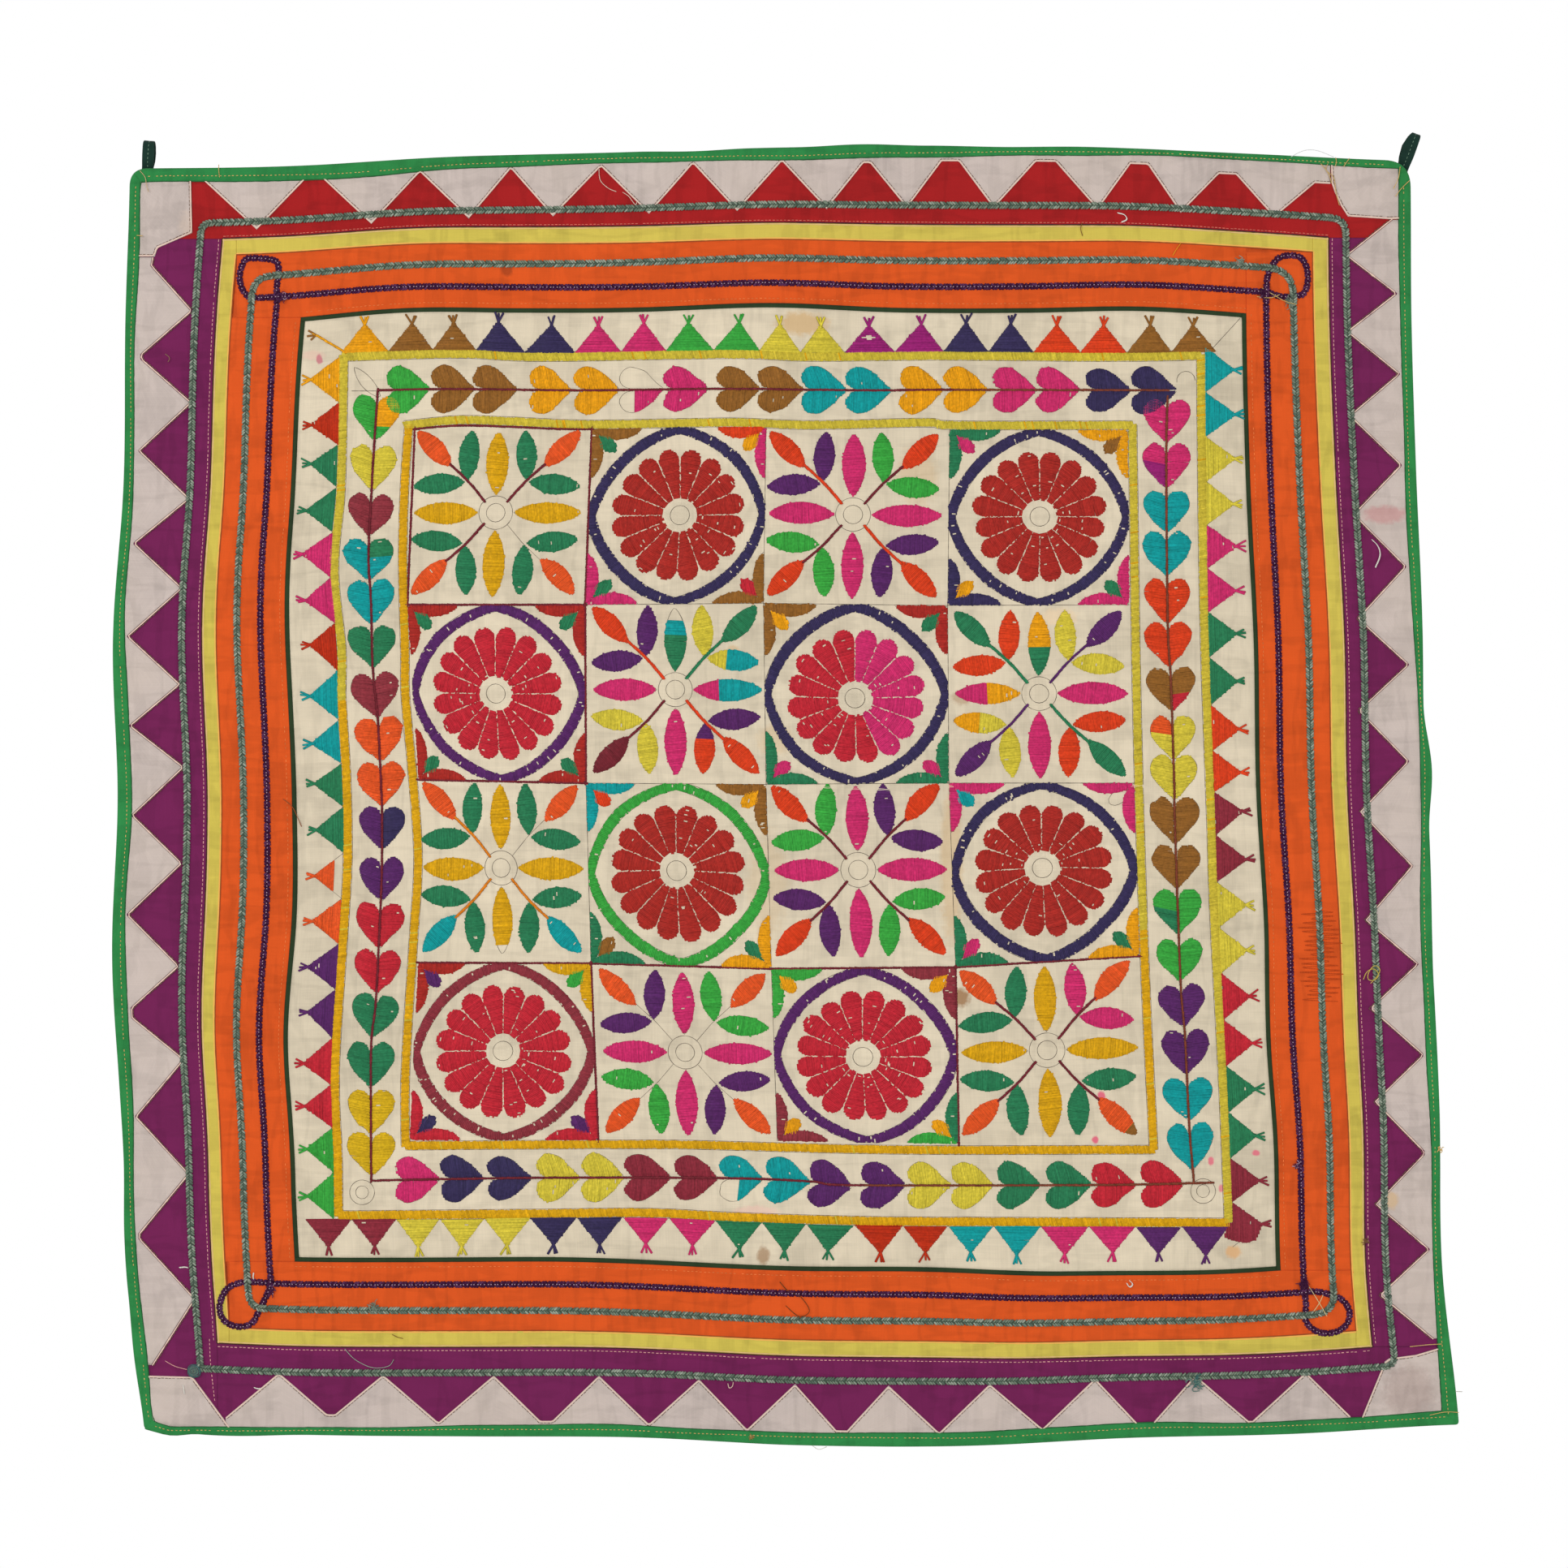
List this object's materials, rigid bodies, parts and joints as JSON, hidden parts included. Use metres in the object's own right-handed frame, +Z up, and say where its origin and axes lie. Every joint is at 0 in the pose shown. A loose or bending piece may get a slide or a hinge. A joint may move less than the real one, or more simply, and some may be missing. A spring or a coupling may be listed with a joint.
{
  "type": "embroidered wall hanging",
  "caption": "Square cotton wall hanging: embroidered cream centre, piped orange, yellow and purple border strips, white dogtooth edging, sewn braids, green binding and tape loops.",
  "frame": {"origin": "middle of the top edge, at the upper edge of the binding, on the cloth's own back face where it lies flat", "axes": "+X to the right of someone facing the embroidery, +Z up, the embroidered face towards -Y"},
  "size_m": [1.0232, 0.0171, 1.0004],
  "materials": {
    "cream_cotton": "matte plain weave",
    "white_cotton": "matte plain weave, greyish pink with age",
    "green_binding": "slightly shiny folded tape",
    "dark_green_tape": "matte",
    "red_cotton": "matte plain weave",
    "purple_cotton": "matte plain weave",
    "yellow_cotton": "matte plain weave",
    "orange_cotton": "matte plain weave",
    "grey_braid": "matte braid",
    "purple_braid": "matte chain-stitched braid"
  },
  "bodies": {
    "root": {"centre_cloth": "cream_cotton", "piping_top": "dark_green_tape", "piping_right": "dark_green_tape", "piping_bottom": "dark_green_tape", "piping_left": "dark_green_tape", "orange_top": "orange_cotton", "orange_right": "orange_cotton", "orange_bottom": "orange_cotton", "orange_left": "orange_cotton", "yellow_top": "yellow_cotton", "yellow_right": "yellow_cotton", "yellow_bottom": "yellow_cotton", "yellow_left": "yellow_cotton", "outer_top": "red_cotton", "outer_right": "purple_cotton", "outer_bottom": "purple_cotton", "outer_left": "purple_cotton", "dogtooth_top": "white_cotton", "dogtooth_right": "white_cotton", "dogtooth_bottom": "white_cotton", "dogtooth_left": "white_cotton", "patch_top_left": "white_cotton", "patch_top_right": "white_cotton", "patch_bottom_right": "white_cotton", "patch_bottom_left": "white_cotton", "binding_top": "green_binding", "binding_right": "green_binding", "binding_bottom": "green_binding", "binding_left": "green_binding", "loop_left": "dark_green_tape", "loop_right": "dark_green_tape", "outer_braid": "grey_braid", "inner_braid": "grey_braid", "purple_braid": "purple_braid"}
  },
  "joints": []
}
